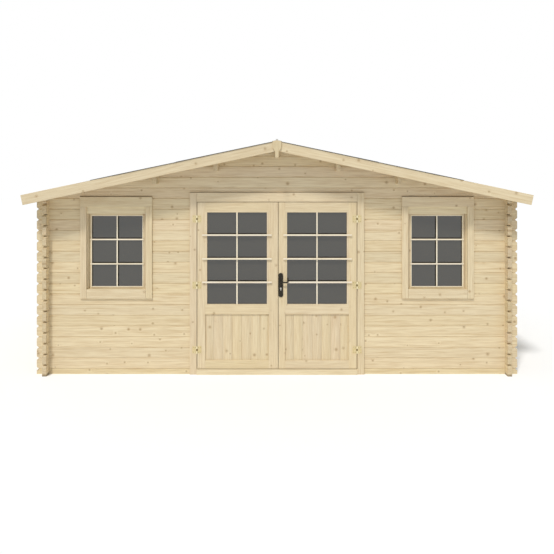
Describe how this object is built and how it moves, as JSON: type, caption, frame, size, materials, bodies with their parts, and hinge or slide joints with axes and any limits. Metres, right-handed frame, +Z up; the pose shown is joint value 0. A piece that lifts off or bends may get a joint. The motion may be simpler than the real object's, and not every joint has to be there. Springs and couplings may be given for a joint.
{
  "type": "log-built garden shed",
  "caption": "Garden shed of interlocking logs with a low gable roof, a glazed double door whose leaves swing outward, and a small window on either side.",
  "frame": {"origin": "on the ground, at the middle of the shed's box", "axes": "+X to the right along the front, seen from outside; -Y towards the front with the door; +Z up"},
  "size_m": [5.3032, 4.546, 2.5005],
  "materials": {
    "wall_logs": "planed untreated spruce",
    "roof_timber": "planed untreated spruce",
    "joinery": "planed untreated spruce",
    "floor_timber": "planed untreated spruce",
    "felt": "mineral roofing felt",
    "glass": "clear sheet",
    "hinge_metal": "yellow plated",
    "handle_metal": "black satin",
    "cylinder_metal": "satin"
  },
  "bodies": {
    "shed": {"left_wall": "wall_logs", "right_wall": "wall_logs", "back_wall": "wall_logs", "front_wall_left": "wall_logs", "front_wall_right": "wall_logs", "front_gable": "wall_logs", "ridge_purlin": "roof_timber", "side_purlins": "roof_timber", "left_roof_boards": "roof_timber", "right_roof_boards": "roof_timber", "front_bargeboards": "roof_timber", "back_bargeboards": "roof_timber", "eave_fascias": "roof_timber", "finials": "roof_timber", "left_window_trims": "joinery", "right_window_trims": "joinery", "left_window_frame": "joinery", "right_window_frame": "joinery", "left_window_sash": "joinery", "right_window_sash": "joinery", "door_frame_left": "joinery", "door_frame_right": "joinery", "door_frame_head": "joinery", "door_threshold": "joinery", "door_trims": "joinery", "floor_deck": "floor_timber", "floor_joists": "floor_timber", "left_roof_felt": "felt", "right_roof_felt": "felt", "ridge_cap": "felt", "left_window_glass": "glass", "right_window_glass": "glass", "left_frame_hinges": "hinge_metal", "right_frame_hinges": "hinge_metal"},
    "left_door": {"left_door_leaf": "joinery", "left_door_panel": "joinery", "left_door_glass": "glass", "left_leaf_hinges": "hinge_metal"},
    "right_door": {"right_door_leaf": "joinery", "right_door_panel": "joinery", "right_door_glass": "glass", "right_leaf_hinges": "hinge_metal", "handle_plates": "handle_metal", "lock_cylinder": "cylinder_metal"},
    "lever": {"handle_lever": "handle_metal"}
  },
  "joints": [
    {"name": "left_door_hinge", "type": "hinge", "parent": "shed", "child": "left_door", "pos_m": [-0.85475, -2.0125, 0.95], "axis": [0, 0, -1], "range_deg": [0, 110]},
    {"name": "right_door_hinge", "type": "hinge", "parent": "shed", "child": "right_door", "pos_m": [0.85475, -2.0125, 0.95], "axis": [0, 0, 1], "range_deg": [0, 110]},
    {"name": "lever_turn", "type": "hinge", "parent": "right_door", "child": "lever", "pos_m": [0.04065, -1.985, 0.988], "axis": [0, 1, 0], "range_deg": [0, 40], "stiffness_Nm_per_rad": 1.2, "springref_deg": -17.19}
  ]
}
